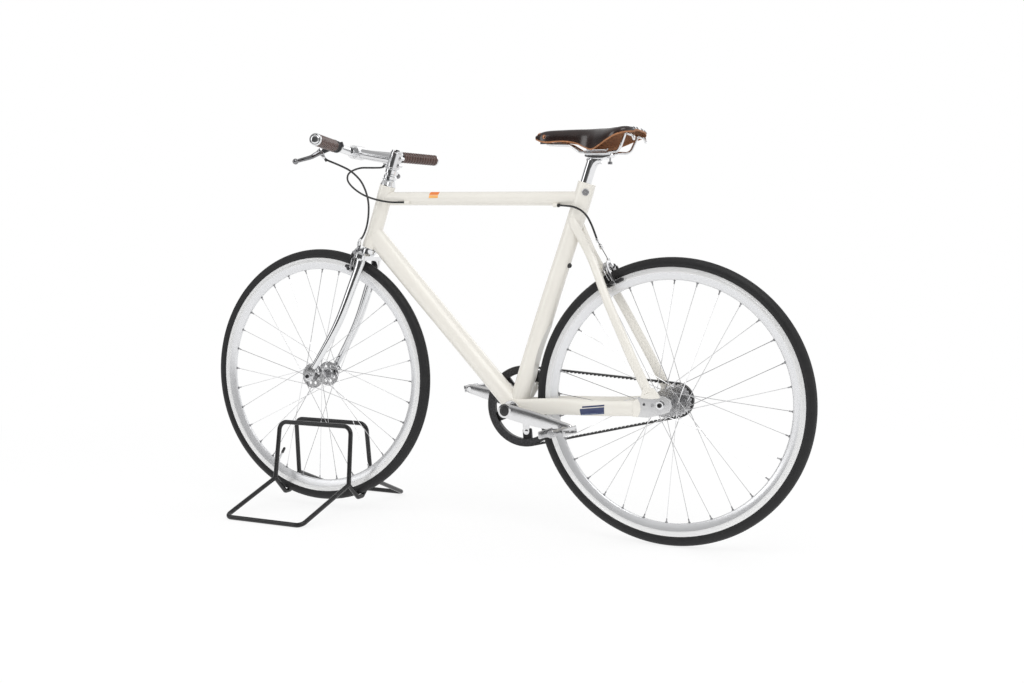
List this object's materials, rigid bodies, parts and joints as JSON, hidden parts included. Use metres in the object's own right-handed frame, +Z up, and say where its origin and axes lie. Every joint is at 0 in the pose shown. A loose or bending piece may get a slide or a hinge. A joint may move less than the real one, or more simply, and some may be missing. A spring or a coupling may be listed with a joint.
{
  "type": "belt-drive city bicycle on a display stand",
  "caption": "City bicycle with diamond frame, curved fork, swept handlebar, leather saddle, rim brakes and belt drive, its front wheel held by a low tube display stand.",
  "frame": {"origin": "on the floor under the middle of the bicycle, at the centre of its bounding box", "axes": "+X forward along the bicycle, +Y to the rider's left, +Z up"},
  "size_m": [1.6646, 0.5908, 0.9837],
  "materials": {
    "cream_paint": "glossy",
    "chrome": "mirror polished",
    "polished_alloy": "polished",
    "rim_alloy": "polished, machined flank",
    "spoke_steel": "bright",
    "tyre_black": "matt",
    "saddle_leather": "polished leather",
    "grip_leather": "ribbed leather",
    "black_rubber": "matt",
    "black_alloy": "anodised",
    "cable_black": "satin",
    "stand_black": "semi-gloss powder coat",
    "belt_black": "matt"
  },
  "bodies": {
    "fork": {"fork_crown": "chrome", "fork_blades": "chrome", "fork_ends": "chrome", "front_axle": "chrome", "headset_cone": "chrome", "stem": "polished_alloy", "handlebar": "chrome", "grip_left": "grip_leather", "grip_right": "grip_leather", "bar_end_plugs": "chrome", "brake_lever_left": "polished_alloy", "brake_lever_right": "polished_alloy", "front_caliper": "polished_alloy", "front_brake_pads": "black_rubber", "front_brake_cable": "cable_black", "stand_hoops": "stand_black", "stand_cradles": "stand_black", "stand_feet": "stand_black"},
    "front_wheel": {"front_tyre": "tyre_black", "front_rim": "rim_alloy", "front_hub": "polished_alloy", "front_spokes": "spoke_steel"},
    "frame": {"head_tube": "cream_paint", "headset_bearings": "chrome", "top_tube": "cream_paint", "down_tube": "cream_paint", "seat_tube": "cream_paint", "bottom_bracket_shell": "cream_paint", "bottom_bracket_cups": "polished_alloy", "chainstays": "cream_paint", "seatstays": "cream_paint", "seatstay_bridge": "cream_paint", "dropouts": "polished_alloy", "rear_axle": "chrome", "seat_post": "chrome", "seat_clamp": "polished_alloy", "saddle_rails": "chrome", "saddle_plates": "chrome", "saddle_top": "saddle_leather", "rear_caliper": "polished_alloy", "rear_brake_pads": "black_rubber", "rear_brake_cable_front": "cable_black", "rear_brake_cable_rear": "cable_black", "belt": "belt_black"},
    "rear_wheel": {"rear_tyre": "tyre_black", "rear_rim": "rim_alloy", "rear_hub": "polished_alloy", "rear_spokes": "spoke_steel"},
    "rear_sprocket": {"rear_sprocket": "polished_alloy"},
    "crank": {"front_sprocket": "black_alloy", "sprocket_spider": "polished_alloy", "crank_arm_left": "polished_alloy", "crank_arm_right": "polished_alloy", "crank_spindle": "black_alloy", "pedal_axles": "chrome"},
    "pedal_left": {"pedal_left": "polished_alloy"},
    "pedal_right": {"pedal_right": "polished_alloy"}
  },
  "joints": [
    {"name": "steering", "type": "hinge", "parent": "fork", "child": "frame", "pos_m": [0.30673, 0, 0.78302], "axis": [-0.3198, 0, 0.9475], "range_deg": [-60, 60], "deforming": ["rear_brake_cable_front"]},
    {"name": "front_wheel_spin", "type": "hinge", "parent": "fork", "child": "front_wheel", "pos_m": [0.49333, 0, 0.3605], "axis": [0, 1, 0], "continuous": true},
    {"name": "rear_wheel_spin", "type": "hinge", "parent": "frame", "child": "rear_wheel", "pos_m": [-0.49333, 0, 0.339], "axis": [0, 1, 0], "continuous": true},
    {"name": "crank_spin", "type": "hinge", "parent": "frame", "child": "crank", "pos_m": [-0.09635, 0, 0.30304], "axis": [0, 1, 0], "continuous": true},
    {"name": "rear_sprocket_spin", "type": "hinge", "parent": "frame", "child": "rear_sprocket", "pos_m": [-0.49333, -0.0475, 0.339], "axis": [0, 1, 0], "continuous": true},
    {"name": "pedal_left_spin", "type": "hinge", "parent": "crank", "child": "pedal_left", "pos_m": [-0.26297, 0.131, 0.2693], "axis": [0, 1, 0], "continuous": true},
    {"name": "pedal_right_spin", "type": "hinge", "parent": "crank", "child": "pedal_right", "pos_m": [0.07026, -0.131, 0.33678], "axis": [0, 1, 0], "continuous": true}
  ],
  "couplings": [
    {"joint": "rear_sprocket_spin", "follows": "crank_spin", "ratio": 2.5}
  ]
}
